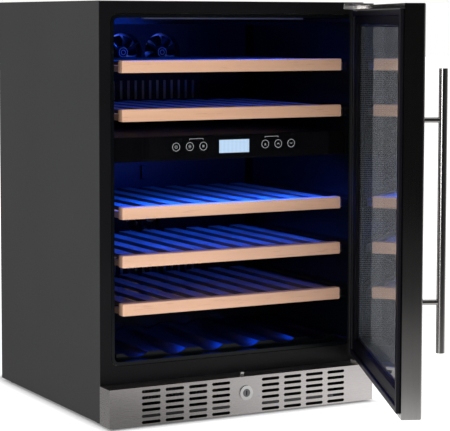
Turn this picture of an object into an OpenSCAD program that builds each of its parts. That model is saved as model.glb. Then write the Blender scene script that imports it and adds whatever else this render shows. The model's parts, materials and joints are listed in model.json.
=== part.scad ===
// Built-in two-zone wine cooler with a right-hung glass door, shown standing open.
// The origin is on the floor under the middle of the cabinet. +Y points to the back, +Z up.

/* [Cabinet] */
// Overall width of the cabinet and of the door
cabinet_w = 595; // [500:5:700]
// Height from the floor to the top panel
cabinet_h = 820; // [780:5:900]
// Depth of the cabinet body, without the door
cabinet_d = 516; // [440:4:620]
// Gap between the floor and the lower edge of the side panels
panel_lift = 6; // [4:1:12]
// Thickness of the outer steel sheet
shell_t = 1.2; // [0.8:0.2:2]
// Thickness of the steel floor of the machine bay
pan_t = 2; // [1.5:0.5:3]
// Height of the machine bay floor's top side above the floor
pan_top = 16; // [15:1:24]
// Depth of the black face frame
frame_t = 12; // [8:1:16]

/* [Cavity] */
// Thickness of each side wall, from the outer sheet to the cavity
wall_side = 32.5; // [26:0.5:45]
// Thickness of the top wall
wall_top = 32; // [26:1:45]
// Thickness of the back wall
wall_back = 60; // [45:1:80]
// Height of the cavity floor above the room's floor
cavity_floor = 122; // [116:1:140]
// Corner radius of the cavity opening
opening_r = 10; // [6:1:20]
// Thickness of the plastic liner
liner_t = 2.5; // [2:0.5:4]
// Width of the liner's flange around the opening
flange_w = 7; // [6:0.5:9]
// Gap between the liner's flange and the face frame
groove_gap = 0.8; // [0.4:0.2:1.2]
// Height of the step over the compressor, above the room's floor
step_top = 202; // [196:1:202]
// Depth of the step, from the cavity's back wall
step_depth = 138; // [120:2:160]
// Foam thickness under the cavity floor and under the step
floor_foam = 17.5; // [12:0.5:20]

/* [Zones] */
// Height of the lower edge of the divider between the zones
divider_z = 509.5; // [500:0.5:520]
// Height of the divider
divider_h = 47.5; // [40:0.5:54]
// Set-back of the control fascia behind the face frame
fascia_set = 6; // [4:1:12]
// Thickness of the fascia's front wall
fascia_t = 3; // [2:0.5:4]
// Depth of the fascia's housing
fascia_depth = 22; // [18:1:30]
// Width of the display window
display_w = 68; // [50:1:80]
// Height of the display window
display_h = 26; // [18:1:30]
// Diameter of a button cap
button_d = 18; // [12:1:20]
// Distance between neighbouring buttons
button_pitch = 30; // [24:1:34]
// Distance from the middle of the fascia to the first button
button_start = 70; // [60:1:80]
// Travel of a button
button_travel = 0.8; // [0.4:0.1:1.2]

/* [Shelves] */
// Gap between the cavity's side wall and each end of a front board
board_gap = 18; // [12:1:40]
// Height of a front board
board_h = 24; // [20:1:30]
// Thickness of a front board
board_t = 20; // [14:1:24]
// Set-back of the front boards behind the face frame
board_set = 2; // [1:0.5:6]
// Depth of a shelf from the front of its board to its back edge
shelf_d = 400; // [330:5:405]
// Vertical pitch of the shelves in a zone
shelf_pitch = 94; // [88:1:96]
// Height of the lower edge of the lowest upper-zone shelf
upper_shelf_z = 587.5; // [585:0.5:592]
// Height of the lower edge of the lowest lower-zone shelf
lower_shelf_z = 210.5; // [209:0.5:214]
// Number of slats in a shelf
slat_count = 9; // [7:1:11]
// Number of troughs in the floor tray
cradle_troughs = 6; // [5:1:7]
// Height of the floor tray
cradle_h = 12; // [8:1:18]
// Width of a slat
slat_w = 30; // [26:1:40]
// Distance from the end of the front board to the outermost slat
slat_edge = 14; // [6:1:20]
// Thickness of a slat
slat_t = 8; // [6:1:10]
// Number of cross rails under the slats
cross_rail_count = 4; // [3:1:5]
// Depth of a cross rail, front to back
cross_rail_w = 24; // [16:1:30]
// Width of the runner strip along each side of a shelf
strip_w = 7; // [5:0.5:8]
// Distance from the front of a shelf to its runner strips, which clears the open door
strip_start = 76; // [76:1:110]
// Thickness of the steel of a shelf rail
rail_t = 1.5; // [1:0.25:2]
// Free play between a shelf's runner strip and its rail
rail_play = 0.5; // [0.4:0.1:1]

/* [Door] */
// Angle that the door stands open
door_angle = 65.7; // [0:0.1:110]
// Height of the lower edge of the door
door_bottom = 87.5; // [87:0.5:96]
// Gap between the top of the door and the top of the cabinet
door_top_gap = 7; // [7:0.5:12]
// Distance from the cabinet's face to the outer face of the door
door_front = 45; // [43:1:50]
// Distance from the cabinet's face to the back of the steel door frame
door_back = 8.5; // [8:0.5:12]
// Distance from the cabinet's face to the door's black inner lip
door_lip = 4.3; // [4:0.1:6]
// Sheet thickness of the steel door frame
door_sheet = 1.2; // [0.8:0.2:2]
// Width of the door frame beside and below the glass
door_rail = 45; // [40:1:60]
// Width of the door frame above the glass
door_head = 36; // [34:1:60]
// Distance from the cabinet's face to the inner glass
glass_set = 12.6; // [11:0.1:20]
// Thickness of a glass pane
glass_t = 4; // [3:0.5:5]
// How far a pane runs behind the door frame
glass_bite = 12; // [8:1:14]
// Width of the glazing spacer
spacer_w = 10; // [8:1:12]
// Distance from the edge of the door to the gasket
gasket_inset = 9; // [9:0.5:14]
// Width of the gasket
gasket_w = 12; // [8:1:14]
// Gap between the gasket and the cabinet's face when the door is shut
gasket_gap = 0.5; // [0.5:0.1:1]
// Distance from the hinge side of the door to the hinge axis
hinge_inset = 12.5; // [10:0.5:12.5]
// Distance from the cabinet's face to the hinge axis
hinge_set = 26; // [26:0.5:28]
// Diameter of the hinge pins
pin_d = 8; // [6:1:10]
// Radial clearance of every pin in its bush
bore_play = 0.05; // [0.02:0.01:0.09]
// Outer diameter of the hinge bushes
bush_d = 13; // [12:1:15]
// Length of the handle bar
handle_l = 500; // [300:10:600]
// Diameter of the handle bar
handle_d = 16; // [12:1:20]
// Distance between the handle's posts
handle_spacing = 320; // [160:5:420]
// Distance from the door's outer face to the middle of the bar
handle_reach = 37; // [33:1:60]
// Distance from the free edge of the door to the middle of the bar
handle_inset = 30; // [24:1:34]
// Diameter of a handle post
post_d = 10; // [8:1:12]

/* [Kickplate] */
// Height of the kickplate's lower edge above the floor
kick_bottom = 4; // [2:1:8]
// Height of the kickplate's top above the floor
kick_top = 79; // [76:1:80]
// Length of a vent slot
slot_l = 40; // [30:1:44]
// Height of a vent slot
slot_h = 6; // [4:0.5:7]
// Horizontal pitch of the vent slots
slot_pitch_x = 51; // [48:1:54]
// Vertical pitch of the vent slots
slot_pitch_z = 12; // [10:0.5:13]
// Distance from the middle of the kickplate to the first slot's centre
slot_start = 56; // [50:1:60]
// Slots per side in a row
slot_columns = 4; // [2:1:4]
// Rows of slots
slot_rows = 6; // [3:1:6]
// Height of the lowest row of slots above the floor
slot_z = 10; // [9:0.5:12]
// Diameter of the lock's bezel
lock_d = 29; // [24:1:32]
// Height of the lock's axis above the floor
lock_z = 46.5; // [42:0.5:50]
// Diameter of the lock's plug
plug_d = 16; // [12:1:18]
// Travel of the lock's bolt
bolt_travel = 8; // [6:0.5:9]

/* [Feet] */
// Distance from the side of the cabinet to the axes of the feet
foot_inset_x = 27.5; // [24:0.5:60]
// Distance from the front and the back of the cabinet to the axes of the feet
foot_inset_y = 33; // [28:1:70]
// Diameter of a foot pad
foot_d = 36; // [28:1:40]
// Thickness of a foot pad
foot_h = 8; // [6:0.5:9]
// Diameter of a foot's threaded stud
stud_d = 10; // [8:1:12]
// Height adjustment of a foot
foot_travel = 20; // [10:1:24]

/* [Cooling] */
// Width and height of a circulation fan
fan_size = 92; // [80:1:92]
// Depth of a circulation fan's frame
fan_t = 22; // [18:1:24]
// Gap between the frames of the two upper fans
fan_gap = 2; // [1:1:18]
// Height of the upper fans' axes
upper_fan_z = 713; // [700:1:725]
// Height of the lower fan's axis
lower_fan_z = 352; // [330:1:380]
// Diameter of a fan's hub
hub_d = 28; // [24:1:36]
// Diameter of a fan's spindle
spindle_d = 4; // [3:0.5:5]
// Number of blades of a fan
blade_count = 7; // [5:1:9]
// Distance from the back wall of the cavity to the front of the air ducts
duct_depth = 34; // [30:1:40]
// Wall thickness of the air ducts
duct_t = 2.5; // [2:0.5:3]
// Gap between the cavity's side wall and each side of the air ducts
duct_gap = 10; // [5:1:40]
// Diameter of the compressor's shell
compressor_d = 118; // [100:2:124]
// Height of the compressor's shell
compressor_h = 120; // [100:2:122]
// Diameter of the refrigerant pipes
pipe_d = 6.35; // [5:0.05:8]

/* [Hidden] */
$fn = 64;
far = 1000;
half_w = cabinet_w / 2;
front = -cabinet_d / 2;
back = cabinet_d / 2;
inner_w = half_w - shell_t;
inner_top = cabinet_h - shell_t;

// Cavity
cav_x = half_w - wall_side;
cav_top = cabinet_h - wall_top;
cav_back = back - wall_back;
step_y = cav_back - step_depth;
flange_set = 0.8;
bay_low = cavity_floor - liner_t - floor_foam;
bay_high = step_top - liner_t - floor_foam;
bay_y = step_y + liner_t + floor_foam;
face_x = cav_x + flange_w + groove_gap;

// Machine bay and base
base_front_h = kick_top - 0.2;
pan_bottom = pan_top - pan_t;
boss_h = 10;
boss_d = 20;
foot_x = half_w - foot_inset_x;
foot_y = back - foot_inset_y;

// Zones
divider_top = divider_z + divider_h;
fascia_front = front + fascia_set;
fascia_x = cav_x - 3;
divider_front = fascia_front + fascia_depth;
display_z = divider_z + divider_h * 0.515;
button_z = display_z + 2;
button_play = 0.35;
button_xs = [for (side = [-1, 1], i = [0:2]) side * (button_start + (side < 0 ? 2 - i : i) * button_pitch)];
led_l = 360;
led_w = 14;
led_h = 3;
led_y = front + 44;

// Shelves: heights of the lower edges, top shelf first
shelf_zs = [upper_shelf_z + shelf_pitch, upper_shelf_z,
    lower_shelf_z + 2 * shelf_pitch, lower_shelf_z + shelf_pitch, lower_shelf_z];
board_y = front + board_set;
deck_y = board_y + board_t + 0.2;
deck_back = board_y + shelf_d;
strip_h = 12;
strip_z = 2;
cradle_x = cav_x - 14;
strip_x = cav_x - 0.3 - rail_t - rail_play - strip_w;
rail_y0 = front + 26;
rail_lip = 9;
fan_pitch = fan_size + fan_gap;
board_w = 2 * (cav_x - board_gap);
duct_w = 2 * (cav_x - duct_gap);
slat_pitch = (board_w - 2 * slat_edge - slat_w) / (slat_count - 1);
strip_y = board_y + strip_start;

// Door, drawn shut and then swung open about the hinge axis
door_top = cabinet_h - door_top_gap;
door_h = door_top - door_bottom;
door_mid = door_bottom + door_h / 2;
hinge_x = half_w - hinge_inset;
hinge_y = front - hinge_set;
core_x = half_w - door_sheet;
core_front = front - door_front + door_sheet;
core_back = front - door_back - door_sheet;
inner_glass_y = front - glass_set;
outer_glass_y = core_front + glass_t;
return_w = 7;
pane_play = 0.2;
spacer_inset = 8;
bush_l = 16;
bush_flange_h = 1.4;
handle_x = -half_w + handle_inset;
handle_y = front - door_front - handle_reach;

// Hinges
hinge_plate_t = 3;
top_arm_z = door_top + bush_flange_h + 0.3;
low_arm_top = door_bottom - bush_flange_h - 0.1;
arm_half = 14;

// Kickplate and lock
kick_front = front - door_front;
kick_t = 1.2;
bolt_w = 8;
bolt_t = 6;
bolt_y = kick_front + 18;
bolt_tip = door_bottom - 2;
bolt_low = lock_z + 4;
strike_play = 2;

// Cooling
fan_bore = fan_size - 6;
fan_front = cav_back - duct_depth + duct_t;
rotor_y = fan_front + fan_t / 2;
fans = [[-fan_pitch / 2, upper_fan_z], [fan_pitch / 2, upper_fan_z], [0, lower_fan_z]];
blade_tilt = 35;
blade_chord = 22;
blade_t = 1.6;
cond_fan_size = 76;
cond_fan_x = -120;
cond_fan_y = front + 150;
cond_fan_z = pan_top + cond_fan_size / 2;
cond_w = 200;
cond_d = 50;
cond_h = 70;
cond_y = cond_fan_y - 75;
cond_tube_end = cond_fan_x + cond_w / 2;
hot_y = cond_y + cond_d - 14;
hot_z = pan_top + cond_h - 12;
cool_y = cond_y + 12;
cool_z = pan_top + 12;
comp_x = 130;
comp_y = bay_y + (back - bay_y) / 2;
comp_base = pan_top + 10;
stub_l = 6;
stub_y = 18;
suction_z = hot_z + 26;
inlet_x = -190;
inlet_z = 60;

// A box from its lowest to its highest corner
module block(low, high) {
    translate(low) cube(high - low);
}

// A rectangle with round corners, in the plane of width and height
module round_rect(x0, x1, z0, z1, r) {
    translate([x0 + r, z0]) square([x1 - x0 - 2 * r, z1 - z0]);
    translate([x0, z0 + r]) square([x1 - x0, z1 - z0 - 2 * r]);
    for (x = [x0 + r, x1 - r], z = [z0 + r, z1 - r])
        translate([x, z]) circle(r);
}

// Stands a flat outline upright and gives it a depth from y0 back to y1
module upright(y0, y1) {
    translate([0, y1, 0]) rotate([90, 0, 0]) linear_extrude(y1 - y0) children();
}

// A cylinder lying front to back
module rod_y(x, z, y0, y1, d) {
    translate([x, y1, z]) rotate([90, 0, 0]) cylinder(h = y1 - y0, d = d);
}

// A cylinder standing up
module rod_z(x, y, z0, z1, d) {
    translate([x, y, z0]) cylinder(h = z1 - z0, d = d);
}

// The cavity's space, grown by a wall's thickness
module cavity_space(grow) {
    upright(front - 1, step_y + grow)
        round_rect(-cav_x - grow, cav_x + grow, cavity_floor - grow, cav_top + grow, opening_r + grow);
    upright(front - 1, cav_back + grow)
        round_rect(-cav_x - grow, cav_x + grow, step_top - grow, cav_top + grow, opening_r + grow);
}

// ---- Cabinet ----

// Folded steel wrap: two sides and the top
module outer_shell() {
    color([0.25, 0.25, 0.25]) difference() {
        block([-half_w, front, panel_lift], [half_w, back, cabinet_h]);
        block([-inner_w, front - 1, panel_lift - 1], [inner_w, back + 1, inner_top]);
    }
}

// Steel sheet that closes the foam at the back
module back_panel() {
    color([0.3, 0.3, 0.3]) block([-inner_w, back - shell_t, bay_high], [inner_w, back, inner_top]);
}

// Machine bay floor with its front upstand and the threaded foot bosses
module base_pan() {
    upstand = pan_t;
    window_x = half_w - 60;
    color([0.2, 0.2, 0.2]) difference() {
        union() {
            block([-inner_w, front, pan_bottom], [inner_w, back - shell_t, pan_top]);
            block([-inner_w, front, pan_bottom], [inner_w, front + upstand, base_front_h]);
            for (x = [-foot_x, foot_x], y = [-foot_y, foot_y])
                rod_z(x, y, pan_bottom, pan_top + boss_h, boss_d);
        }
        for (x = [-foot_x, foot_x], y = [-foot_y, foot_y])
            rod_z(x, y, pan_bottom - 1, pan_top + boss_h + 1, stud_d + 2 * bore_play);
        for (side = [-1, 1])
            block([side > 0 ? 40 : -window_x, front - 1, pan_top + 6],
                [side > 0 ? window_x : -40, front + upstand + 1, base_front_h - 8]);
    }
}

// Foamed insulation between the wrap and the liner
module insulation_foam() {
    color([0.9, 0.85, 0.6]) difference() {
        block([-inner_w, front + frame_t, bay_low], [inner_w, back - shell_t, inner_top]);
        cavity_space(liner_t);
        block([-far, bay_y, 0], [far, far, bay_high]);
    }
}

// Black plastic liner with its step over the compressor and its front flange
module inner_liner() {
    flange_y = front + flange_set;
    color([0.04, 0.04, 0.07]) difference() {
        union() {
            intersection() {
                cavity_space(liner_t);
                block([-far, flange_y, 0], [far, far, far]);
            }
            upright(flange_y, flange_y + liner_t)
                round_rect(-cav_x - flange_w, cav_x + flange_w, cavity_floor - flange_w,
                    cav_top + flange_w, opening_r + flange_w);
        }
        cavity_space(0);
    }
}

// Black face frame around the opening
module front_frame() {
    color([0.08, 0.08, 0.08]) difference() {
        block([-inner_w, front, kick_top], [inner_w, front + frame_t, inner_top]);
        upright(front - 1, front + frame_t + 1)
            round_rect(-face_x, face_x, cavity_floor - flange_w - groove_gap,
                cav_top + flange_w + groove_gap, opening_r + flange_w + groove_gap);
    }
}

// Steel channels on the side walls, one pair for each shelf
module shelf_rails() {
    web_x = cav_x - 0.3;
    color([0.35, 0.35, 0.37]) for (z = shelf_zs, side = [-1, 1])
        mirror([side < 0 ? 1 : 0, 0, 0]) {
            low = z + strip_z - rail_play;
            high = z + strip_z + strip_h + rail_play;
            difference() {
                block([web_x - rail_lip, rail_y0, low - rail_t], [web_x, deck_back + 4, high + rail_t]);
                block([web_x - far, rail_y0 - 1, low], [web_x - rail_t, deck_back + 2.5, high]);
            }
        }
}

// ---- Air ducts and fans ----

// A duct cover: a shallow box open to the back wall
module duct_box(z0, z1) {
    y0 = cav_back - duct_depth;
    difference() {
        block([-duct_w / 2, y0, z0], [duct_w / 2, cav_back, z1]);
        block([-duct_w / 2 + duct_t, y0 + duct_t, z0 + duct_t],
            [duct_w / 2 - duct_t, cav_back + 1, z1 - duct_t]);
    }
}

// Upright air slots in a duct cover
module louvres(count, pitch, z0, z1) {
    y0 = cav_back - duct_depth;
    for (i = [0:count - 1])
        translate([(i - (count - 1) / 2) * pitch, 0, 0])
            block([-3.5, y0 - 1, z0], [3.5, y0 + duct_t + 1, z1]);
}

module duct_cover_upper() {
    y0 = cav_back - duct_depth;
    color([0.06, 0.06, 0.12]) difference() {
        duct_box(divider_top + 12, cav_top - 14);
        for (i = [0, 1])
            rod_y(fans[i][0], fans[i][1], y0 - 1, y0 + duct_t + 1, fan_bore);
        louvres(17, 17.5, divider_top + 54, divider_top + 95);
    }
}

module duct_cover_lower() {
    y0 = cav_back - duct_depth;
    color([0.06, 0.06, 0.12]) difference() {
        duct_box(step_top + 6, divider_z - 14);
        rod_y(fans[2][0], fans[2][1], y0 - 1, y0 + duct_t + 1, fan_bore);
        louvres(17, 17.5, step_top + 24, step_top + 65);
    }
}

// Cold plates behind the ducts
module evaporators() {
    plate_x = duct_w / 2 - 20;
    color([0.7, 0.72, 0.75])
        for (z = [[divider_top + 24, cav_top - 30], [step_top + 20, divider_z - 30]])
            block([-plate_x, cav_back - 2, z[0]], [plate_x, cav_back, z[1]]);
}

// A square fan frame with three struts that hold the spindle
module fan_frame(size, bore, depth) {
    strut_t = 3;
    disc_r = hub_d * 0.4;
    difference() {
        block([-size / 2, -depth / 2, -size / 2], [size / 2, depth / 2, size / 2]);
        rod_y(0, 0, -depth / 2 - 1, depth / 2 + 1, bore);
    }
    for (a = [90, 210, 330])
        rotate([0, a, 0]) block([disc_r - 2, depth / 2 - strut_t - 0.5, -2], [bore / 2 + 1, depth / 2 - 0.5, 2]);
    rod_y(0, 0, depth / 2 - strut_t, depth / 2, 2 * disc_r);
    rod_y(0, 0, -depth / 2 + 3, depth / 2 - 1, spindle_d);
}

// A fan rotor: a hub on the spindle and tilted flat blades
module fan_rotor(bore, hub, depth) {
    hub_l = depth - 8;
    tip = bore / 2 - 3.2;
    difference() {
        union() {
            rod_y(0, 0, -depth / 2 + 2, -depth / 2 + 2 + hub_l, hub);
            for (i = [0:blade_count - 1])
                rotate([0, i * 360 / blade_count, 0]) rotate([blade_tilt, 0, 0])
                    translate([hub / 2 - 2, -blade_t / 2, -blade_chord * 0.32])
                        cube([tip - hub / 2 + 0.6, blade_t, blade_chord * 0.64]);
        }
        rod_y(0, 0, -depth, depth, spindle_d + 2 * bore_play);
    }
}

module fan_frames() {
    color([0.07, 0.07, 0.1]) for (f = fans)
        translate([f[0], rotor_y, f[1]]) mirror([0, 1, 0]) fan_frame(fan_size, fan_bore, fan_t);
}

module inner_rotor(i) {
    color([0.1, 0.12, 0.25])
        translate([fans[i][0], rotor_y, fans[i][1]]) mirror([0, 1, 0]) fan_rotor(fan_bore, hub_d, fan_t);
}

// ---- Divider and controls ----

module zone_divider() {
    color([0.06, 0.06, 0.08])
        block([-cav_x + 0.2, divider_front, divider_z], [cav_x - 0.2, cav_back - 0.2, divider_top]);
}

// Black control fascia: a front wall with the display window and the button holes, and a housing
module control_fascia() {
    color([0.03, 0.03, 0.03]) difference() {
        block([-fascia_x, fascia_front, divider_z], [fascia_x, divider_front, divider_top]);
        block([-fascia_x + fascia_t, fascia_front + fascia_t, divider_z + fascia_t],
            [fascia_x - fascia_t, divider_front + 1, divider_top - fascia_t]);
        block([-display_w / 2, fascia_front - 1, display_z - display_h / 2],
            [display_w / 2, fascia_front + fascia_t + 1, display_z + display_h / 2]);
        for (x = button_xs)
            rod_y(x, button_z, fascia_front - 1, fascia_front + fascia_t + 1, button_d + 2 * button_play);
    }
}

module display_window() {
    color([0.75, 0.87, 0.98])
        block([-display_w / 2, fascia_front + 0.4, display_z - display_h / 2],
            [display_w / 2, fascia_front + fascia_t + 3, display_z + display_h / 2]);
}

// Circuit board with a switch behind each button
module control_board() {
    board_y0 = fascia_front + 12;
    switch_front = fascia_front + fascia_t + 3 + button_travel + 0.6;
    color([0.1, 0.35, 0.2]) {
        block([-button_start - 2 * button_pitch - 20, board_y0, divider_z + 6],
            [button_start + 2 * button_pitch + 20, board_y0 + 1.6, divider_top - 6]);
        for (x = button_xs)
            rod_y(x, button_z, switch_front, board_y0, 6);
    }
}

// A button cap with a wider collar behind the fascia
module button(i) {
    collar = 1.5;
    color([0.05, 0.05, 0.05]) {
        rod_y(button_xs[i], button_z, fascia_front - button_travel - 0.2, fascia_front + fascia_t + 0.4, button_d);
        rod_y(button_xs[i], button_z, fascia_front + fascia_t + 0.4,
            fascia_front + fascia_t + 0.4 + collar, button_d + 3);
    }
}

// Light strips under the ceiling and under the divider
module led_strips() {
    color([0.3, 0.5, 1]) for (z = [cav_top, divider_z])
        block([-led_l / 2, led_y, z - led_h], [led_l / 2, led_y + led_w, z]);
}

// Small covers over the temperature sensors, on the duct covers
module temp_sensors() {
    y0 = cav_back - duct_depth;
    color([0.1, 0.1, 0.12]) {
        block([187, y0 - 7, 706], [199, y0, 742]);
        block([-7, y0 - 7, 436], [7, y0, 466]);
    }
}

// Low ribbed tray on the cavity floor with a trough for each lying bottle
module bottle_cradle() {
    trough_r = 45;
    skin = 3;
    pitch = 2 * cradle_x / cradle_troughs;
    color([0.05, 0.05, 0.07]) difference() {
        block([-cradle_x, front + 24, cavity_floor], [cradle_x, step_y - 6, cavity_floor + cradle_h]);
        for (i = [0:cradle_troughs - 1])
            rod_y(-cradle_x + (i + 0.5) * pitch, cavity_floor + skin + trough_r, front, step_y, 2 * trough_r);
    }
}

// ---- Machine bay ----

// Sealed compressor: a can with a domed top on a foot plate, its terminal box and two pipe stubs
module compressor() {
    r = compressor_d / 2;
    dome = 22;
    plate = 3;
    color([0.05, 0.05, 0.05]) translate([comp_x, comp_y, comp_base]) {
        difference() {
            block([-80, -50, 0], [80, 50, plate]);
            for (x = [-68, 68], y = [-38, 38])
                rod_z(x, y, -1, plate + 1, 12);
        }
        rotate_extrude() polygon(concat([[0, plate], [r - 10, plate]],
            [for (a = [0:15:90]) [r * cos(a), compressor_h - dome + dome * sin(a)]]));
        block([r - 10, -24, 40], [r + 20, 24, 90]);
        for (stub = [[-stub_y, hot_z], [stub_y, suction_z]])
            translate([-r - stub_l, stub[0], stub[1] - comp_base]) rotate([0, 90, 0]) cylinder(h = r, d = pipe_d + 3);
    }
}

// Rubber grommets with their bolts, one at each corner of the compressor's foot plate
module compressor_mounts() {
    color([0.12, 0.12, 0.12]) translate([comp_x, comp_y, 0]) for (x = [-68, 68], y = [-38, 38]) {
        rod_z(x, y, pan_top, comp_base, 22);
        rod_z(x, y, comp_base, comp_base + 5, 12);
        rod_z(x, y, comp_base + 5, comp_base + 8, 20);
    }
}

// Finned condenser block in front of its fan
module condenser() {
    fins = 26;
    fin_t = 1;
    tube_d = 7;
    color([0.55, 0.56, 0.58]) translate([cond_fan_x - cond_w / 2, 0, 0]) {
        for (i = [0:fins - 1])
            block([i * cond_w / fins, cond_y, pan_top], [i * cond_w / fins + fin_t, cond_y + cond_d, pan_top + cond_h]);
        for (y = [cool_y, hot_y], z = [cool_z, (cool_z + hot_z) / 2, hot_z])
            translate([-6, y, z]) rotate([0, 90, 0]) cylinder(h = cond_w + 6, d = tube_d);
    }
}

module condenser_fan_frame() {
    color([0.1, 0.1, 0.1]) translate([cond_fan_x, cond_fan_y, cond_fan_z])
        fan_frame(cond_fan_size, cond_fan_size - 5, 20);
}

module condenser_fan_rotor() {
    color([0.16, 0.16, 0.16]) translate([cond_fan_x, cond_fan_y, cond_fan_z])
        fan_rotor(cond_fan_size - 5, hub_d, 20);
}

// A pipe through a list of points, with a ball at each bend
module pipe_run(points, d) {
    for (i = [0:len(points) - 2]) {
        a = points[i];
        b = points[i + 1];
        v = b - a;
        l = norm(v);
        translate(a) rotate([0, acos(v[2] / l), atan2(v[1], v[0])]) cylinder(h = l, d = d);
        if (i > 0) translate(a) sphere(d = d * 1.06);
    }
}

// Discharge line, suction line, liquid line, filter drier and capillary
module refrigerant_pipes() {
    stub_x = comp_x - compressor_d / 2 - stub_l;
    hot_x = stub_x - 40;
    drier_x = 0;
    drier_y = [-20, 60];
    color([0.72, 0.45, 0.2]) {
        pipe_run([[stub_x, comp_y - stub_y, hot_z], [hot_x, comp_y - stub_y, hot_z],
            [hot_x, hot_y, hot_z], [cond_tube_end, hot_y, hot_z]], pipe_d);
        pipe_run([[stub_x, comp_y + stub_y, suction_z], [stub_x - 28, comp_y + stub_y, suction_z],
            [stub_x - 28, comp_y + stub_y, bay_high]], pipe_d);
        pipe_run([[cond_tube_end, cool_y, cool_z], [drier_x, cool_y, cool_z], [drier_x, drier_y[0], cool_z]], pipe_d);
        rod_y(drier_x, cool_z, drier_y[0], drier_y[1], 19);
        pipe_run([[drier_x, drier_y[1], cool_z], [drier_x, comp_y, cool_z], [drier_x, comp_y, bay_high]], pipe_d / 2);
    }
}

// Tray over the compressor that holds melt water until it dries
module drip_tray() {
    z0 = comp_base + compressor_h;
    wall = 2;
    color([0.15, 0.15, 0.15]) difference() {
        block([comp_x - 85, comp_y - 60, z0], [comp_x + 85, comp_y + 60, z0 + 22]);
        block([comp_x - 85 + wall, comp_y - 60 + wall, z0 + wall], [comp_x + 85 - wall, comp_y + 60 - wall, z0 + 23]);
    }
}

// Mains inlet in the machine cover, with three flat contacts
module power_inlet() {
    w = 27;
    h = 19.5;
    color([0.03, 0.03, 0.03]) {
        difference() {
            union() {
                block([inlet_x - w / 2, back - 24, inlet_z - h / 2], [inlet_x + w / 2, back, inlet_z + h / 2]);
                block([inlet_x - w / 2 - 6, back, inlet_z - h / 2 - 4], [inlet_x + w / 2 + 6, back + 2, inlet_z + h / 2 + 4]);
            }
            block([inlet_x - w / 2 + 2, back - 18, inlet_z - h / 2 + 2], [inlet_x + w / 2 - 2, back + 3, inlet_z + h / 2 - 2]);
        }
        for (p = [[-7, 2], [7, 2], [0, -3]])
            block([inlet_x + p[0] - 1, back - 19, inlet_z + p[1] - 2], [inlet_x + p[0] + 1, back - 4, inlet_z + p[1] + 2]);
    }
}

// Removable louvred cover at the back of the machine bay
module machine_cover() {
    play = 0.5;
    color([0.22, 0.22, 0.22]) difference() {
        block([-inner_w + play, back - shell_t, pan_top + play], [inner_w - play, back, bay_high - play]);
        block([inlet_x - 13.5, back - 5, inlet_z - 9.75], [inlet_x + 13.5, back + 1, inlet_z + 9.75]);
        for (i = [0:11], z = [pan_top + 30, pan_top + 90])
            translate([-110 + i * 30, 0, 0]) block([-4, back - 5, z], [4, back + 1, z + 45]);
    }
}

// ---- Kickplate and lock ----

// An upright slot outline with round ends
module slot_outline(x, z) {
    translate([x - (slot_l - slot_h) / 2, z - slot_h / 2]) square([slot_l - slot_h, slot_h]);
    for (side = [-1, 1])
        translate([x + side * (slot_l - slot_h) / 2, z]) circle(d = slot_h);
}

// Folded steel kickplate with vent slots
module kickplate() {
    notch = arm_half + 3;
    color([0.7, 0.69, 0.68]) difference() {
        block([-half_w, kick_front, kick_bottom], [half_w, front, kick_top]);
        block([-half_w + kick_t, kick_front + kick_t, kick_bottom + kick_t],
            [half_w - kick_t, front + 1, kick_top - kick_t]);
        upright(kick_front - 1, kick_front + kick_t + 1)
            for (side = [-1, 1], i = [0:slot_columns - 1], j = [0:slot_rows - 1])
                slot_outline(side * (slot_start + i * slot_pitch_x), slot_z + j * slot_pitch_z);
        rod_y(0, lock_z, kick_front - 1, kick_front + kick_t + 1, lock_d - 6);
        block([-bolt_w / 2 - 0.5, bolt_y - bolt_t / 2 - 0.5, kick_top - 5],
            [bolt_w / 2 + 0.5, bolt_y + bolt_t / 2 + 0.5, kick_top + 1]);
        block([hinge_x - notch, front - hinge_plate_t - 1, kick_top - 5], [hinge_x + notch, front + 1, kick_top + 1]);
    }
}

// Fixed body of the lock: a bezel, a sleeve for the plug and a guide for the bolt
module lock_housing() {
    sleeve = lock_d - 6.2;
    guide = 3;
    sleeve_back = bolt_y - bolt_t / 2 - 0.6;
    color([0.6, 0.6, 0.6]) difference() {
        union() {
            rod_y(0, lock_z, kick_front - 2.5, kick_front, lock_d);
            rod_y(0, lock_z, kick_front, sleeve_back, sleeve);
            block([-bolt_w / 2 - guide, kick_front + kick_t + 0.3, lock_z],
                [bolt_w / 2 + guide, sleeve_back, kick_top - kick_t - 0.2]);
            block([-bolt_w / 2 - guide, sleeve_back - 1, kick_top - kick_t - 14],
                [bolt_w / 2 + guide, bolt_y + bolt_t / 2 + guide, kick_top - kick_t - 0.2]);
        }
        rod_y(0, lock_z, kick_front - 4, sleeve_back + 1, plug_d + 2 * bore_play);
        block([-bolt_w / 2 - 0.3, bolt_y - bolt_t / 2 - 0.3, 0], [bolt_w / 2 + 0.3, bolt_y + bolt_t / 2 + 0.3, kick_top]);
    }
}

// Turning plug with a key slot
module lock_plug() {
    face = kick_front - 3;
    plug_back = bolt_y - bolt_t / 2 - 0.6;
    color([0.75, 0.75, 0.72]) difference() {
        rod_y(0, lock_z, face, plug_back, plug_d);
        block([-1.1, face - 1, lock_z - 4.5], [1.1, face + 12, lock_z + 4.5]);
    }
}

// Sliding bolt that rises into the closed door
module lock_bolt() {
    color([0.7, 0.7, 0.7])
        block([-bolt_w / 2, bolt_y - bolt_t / 2, bolt_low], [bolt_w / 2, bolt_y + bolt_t / 2, bolt_tip]);
}

// ---- Hinges and feet ----

// Upper hinge: a plate on the face frame, an arm over the door and the pin
module top_hinge() {
    plate_x = hinge_x - 36;
    color([0.78, 0.76, 0.74]) {
        block([plate_x, front - 2.5, door_top - gasket_inset + 1.5], [inner_w, front, top_arm_z + hinge_plate_t]);
        block([hinge_x - arm_half, hinge_y - arm_half, top_arm_z], [inner_w, front - 2.5, top_arm_z + hinge_plate_t]);
        rod_z(hinge_x, hinge_y, door_top - bush_l + 1, top_arm_z, pin_d);
    }
}

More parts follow.
